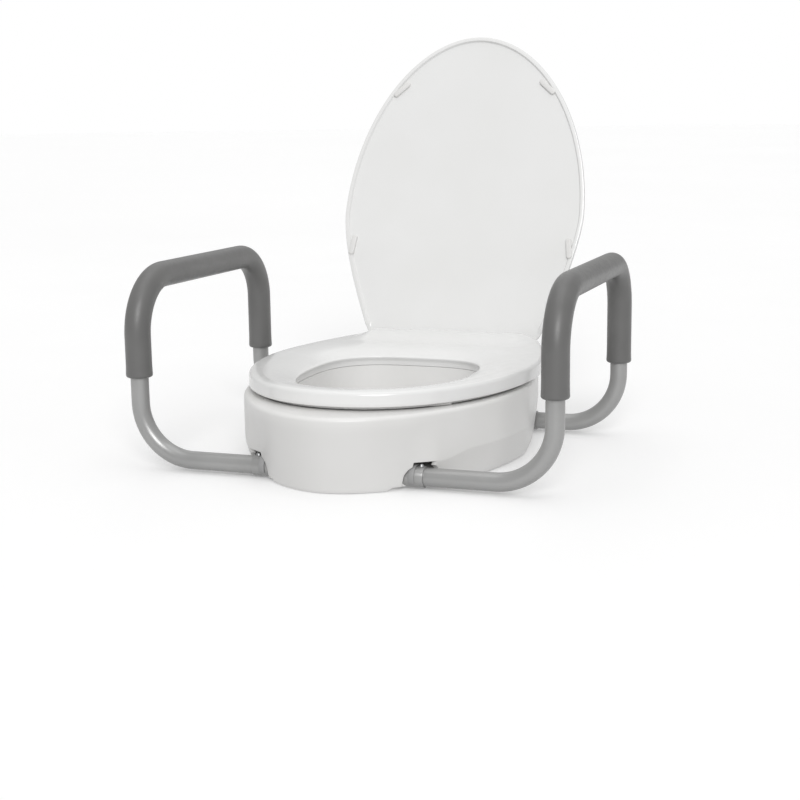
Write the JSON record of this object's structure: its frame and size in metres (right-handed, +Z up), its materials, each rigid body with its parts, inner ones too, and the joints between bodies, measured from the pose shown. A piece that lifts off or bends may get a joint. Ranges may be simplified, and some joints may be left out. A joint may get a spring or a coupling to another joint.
{
  "type": "raised toilet seat",
  "caption": "Tall hollow riser that bolts on a toilet bowl, with a closed-front seat ring, a hinged lid and two removable tube arms with foam grips.",
  "frame": {"origin": "midway between the two mounting bolts, on the plane of the bowl's rim", "axes": "+Z up, -Y towards the front of the seat, +X to the right as seen from the front"},
  "size_m": [0.554, 0.6499, 0.6013],
  "materials": {
    "riser_white": "satin blow-moulded plastic",
    "seat_white": "smooth gloss",
    "bumper_white": "soft white rubber",
    "nut_white": "moulded nylon",
    "rubber_dark": "black rubber",
    "steel": "zinc plated",
    "collar_grey": "moulded grey plastic",
    "tube_grey": "satin grey powder coat",
    "foam_grey": "closed-cell foam with a smooth skin"
  },
  "bodies": {
    "root": {"riser_shell": "riser_white", "riser_base": "riser_white", "rim_pads": "rubber_dark", "base_screws": "steel", "front_socket_left": "steel", "front_socket_right": "steel", "rear_socket_left": "steel", "rear_socket_right": "steel", "front_collar_left": "collar_grey", "front_collar_right": "collar_grey", "rear_collar_left": "collar_grey", "rear_collar_right": "collar_grey", "front_saddle_left": "steel", "front_saddle_right": "steel", "rear_saddle_left": "steel", "rear_saddle_right": "steel", "saddle_screws": "steel", "mounting_bolts": "steel", "cone_bushings": "rubber_dark", "bowl_washers": "steel", "wing_nuts": "nut_white", "hinge_post_left": "seat_white", "hinge_post_right": "seat_white", "bolt_cap_left": "seat_white", "bolt_cap_right": "seat_white", "hinge_pin_left": "steel", "hinge_pin_right": "steel"},
    "seat": {"seat_ring": "seat_white", "seat_bumpers": "bumper_white"},
    "lid": {"lid_panel": "seat_white", "lid_bumpers": "bumper_white"},
    "arm_left": {"arm_tube_left": "tube_grey", "foam_grip_left": "foam_grey", "tube_plugs_left": "rubber_dark", "front_spring_left": "steel", "rear_spring_left": "steel"},
    "front_button_body_left": {"front_button_left": "steel"},
    "rear_button_body_left": {"rear_button_left": "steel"},
    "arm_right": {"arm_tube_right": "tube_grey", "foam_grip_right": "foam_grey", "tube_plugs_right": "rubber_dark", "front_spring_right": "steel", "rear_spring_right": "steel"},
    "front_button_body_right": {"front_button_right": "steel"},
    "rear_button_body_right": {"rear_button_right": "steel"}
  },
  "joints": [
    {"name": "seat_hinge", "type": "hinge", "parent": "root", "child": "seat", "pos_m": [0, -0.022, 0.112], "axis": [-1, 0, 0], "range_deg": [0, 95]},
    {"name": "lid_hinge", "type": "hinge", "parent": "root", "child": "lid", "pos_m": [0, -0.022, 0.112], "axis": [-1, 0, 0], "range_deg": [-109.5, 0]},
    {"name": "arm_slide_left", "type": "slide", "parent": "root", "child": "arm_left", "axis": [-1, 0, 0], "range_m": [0, 0.052]},
    {"name": "front_button_press_left", "type": "slide", "parent": "arm_left", "child": "front_button_body_left", "axis": [0, 0, -1], "range_m": [0, 0.0045], "stiffness_N_per_m": 900, "springref_m": -0.003, "deforming": ["front_spring_left"]},
    {"name": "rear_button_press_left", "type": "slide", "parent": "arm_left", "child": "rear_button_body_left", "axis": [0, 0, -1], "range_m": [0, 0.0045], "stiffness_N_per_m": 900, "springref_m": -0.003, "deforming": ["rear_spring_left"]},
    {"name": "arm_slide_right", "type": "slide", "parent": "root", "child": "arm_right", "axis": [1, 0, 0], "range_m": [0, 0.052]},
    {"name": "front_button_press_right", "type": "slide", "parent": "arm_right", "child": "front_button_body_right", "axis": [0, 0, -1], "range_m": [0, 0.0045], "stiffness_N_per_m": 900, "springref_m": -0.003, "deforming": ["front_spring_right"]},
    {"name": "rear_button_press_right", "type": "slide", "parent": "arm_right", "child": "rear_button_body_right", "axis": [0, 0, -1], "range_m": [0, 0.0045], "stiffness_N_per_m": 900, "springref_m": -0.003, "deforming": ["rear_spring_right"]}
  ]
}
